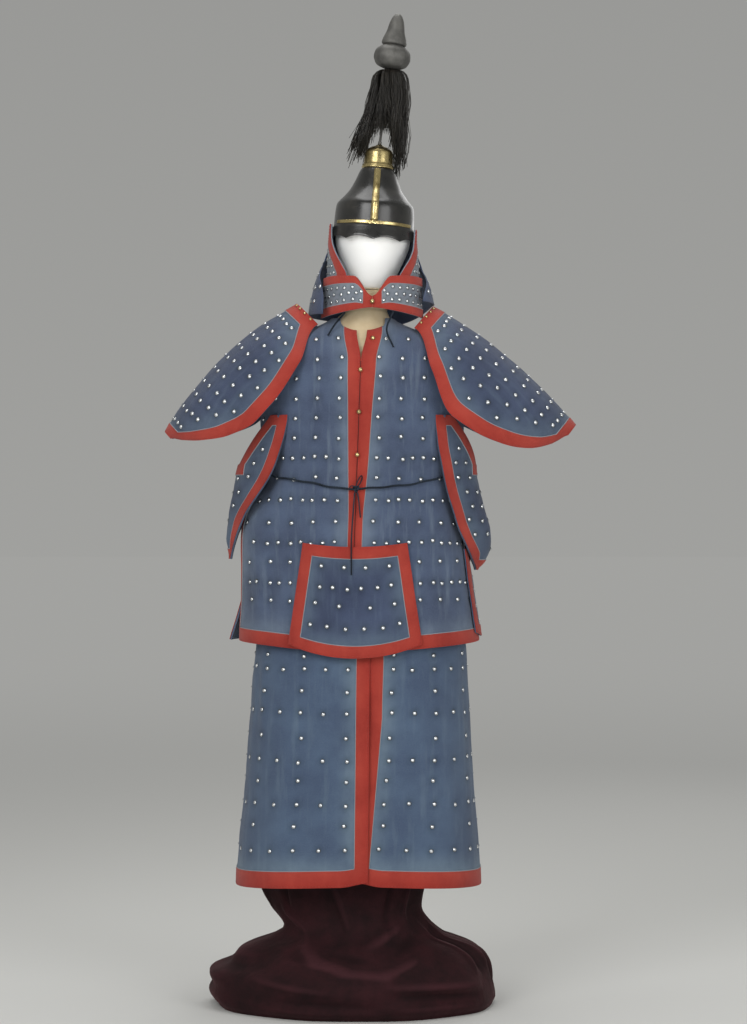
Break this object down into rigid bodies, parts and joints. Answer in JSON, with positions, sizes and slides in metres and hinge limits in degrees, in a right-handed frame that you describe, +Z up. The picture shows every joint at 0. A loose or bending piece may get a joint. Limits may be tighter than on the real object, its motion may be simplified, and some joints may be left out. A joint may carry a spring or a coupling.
{
  "type": "manchu banner armour on a dress form stand",
  "caption": "Studded cotton armour of jacket, skirt, shoulder and armpit guards, flaps and plumed helmet with neck guards, standing on a limbless dress form with a velvet-covered foot.",
  "frame": {"origin": "on the floor under the middle of the dress form, in the flat bottom of its foot", "axes": "+X towards the wearer's left, -Y to the front, +Z up"},
  "size_m": [0.9045, 0.4929, 2.176],
  "materials": {
    "blue_cotton": "faded indigo padded cotton, studded",
    "red_cotton": "brick red cotton facing",
    "pale_cotton": "pale grey-blue cotton",
    "calico": "tan cotton cover",
    "velvet": "dark maroon velvet",
    "white_form": "smooth matt white",
    "dark_cord": "dark twisted cotton cord",
    "horsehair": "black horse hair",
    "black_lacquer": "glossy black lacquer",
    "brass": "aged polished brass",
    "dull_pewter": "dull grey metal"
  },
  "bodies": {
    "root": {"stand_foot": "velvet", "stand_form": "calico", "stand_head": "white_form", "skirt_right": "blue_cotton", "skirt_right_border": "red_cotton", "skirt_right_waistband": "calico", "skirt_left": "blue_cotton", "skirt_left_border": "red_cotton", "skirt_left_waistband": "calico", "jacket_front_right": "blue_cotton", "jacket_front_right_border": "red_cotton", "jacket_front_left": "blue_cotton", "jacket_front_left_border": "red_cotton", "jacket_back": "blue_cotton", "jacket_back_border": "red_cotton", "jacket_button_1": "brass", "jacket_button_2": "brass", "jacket_button_3": "brass", "jacket_button_4": "brass", "waist_cord": "dark_cord", "waist_cord_knot": "dark_cord", "waist_cord_end_right": "dark_cord", "waist_cord_end_left": "dark_cord", "front_flap": "blue_cotton", "front_flap_border": "red_cotton", "side_flap_left": "blue_cotton", "side_flap_left_border": "red_cotton", "armpit_guard_right": "blue_cotton", "armpit_guard_right_border": "red_cotton", "armpit_guard_left": "blue_cotton", "armpit_guard_left_border": "red_cotton", "shoulder_guard_right": "blue_cotton", "shoulder_guard_right_border": "red_cotton", "shoulder_guard_left": "blue_cotton", "shoulder_guard_left_border": "red_cotton", "helmet_bowl": "black_lacquer", "helmet_visor": "black_lacquer", "helmet_brow_band": "brass", "helmet_ridge_front": "brass", "helmet_ridge_back": "brass", "plume_cup": "brass", "plume_stem": "dull_pewter", "plume_finial": "dull_pewter", "plume_tassel": "horsehair", "nape_guard": "blue_cotton", "nape_guard_border": "red_cotton", "ear_guard_right": "blue_cotton", "ear_guard_right_border": "red_cotton", "ear_guard_left": "blue_cotton", "ear_guard_left_border": "red_cotton", "throat_guard_right": "pale_cotton", "throat_guard_right_border": "red_cotton", "throat_guard_left": "pale_cotton", "throat_guard_left_border": "red_cotton", "throat_button": "brass", "throat_tie_right": "dark_cord", "throat_tie_left": "dark_cord"}
  },
  "joints": []
}
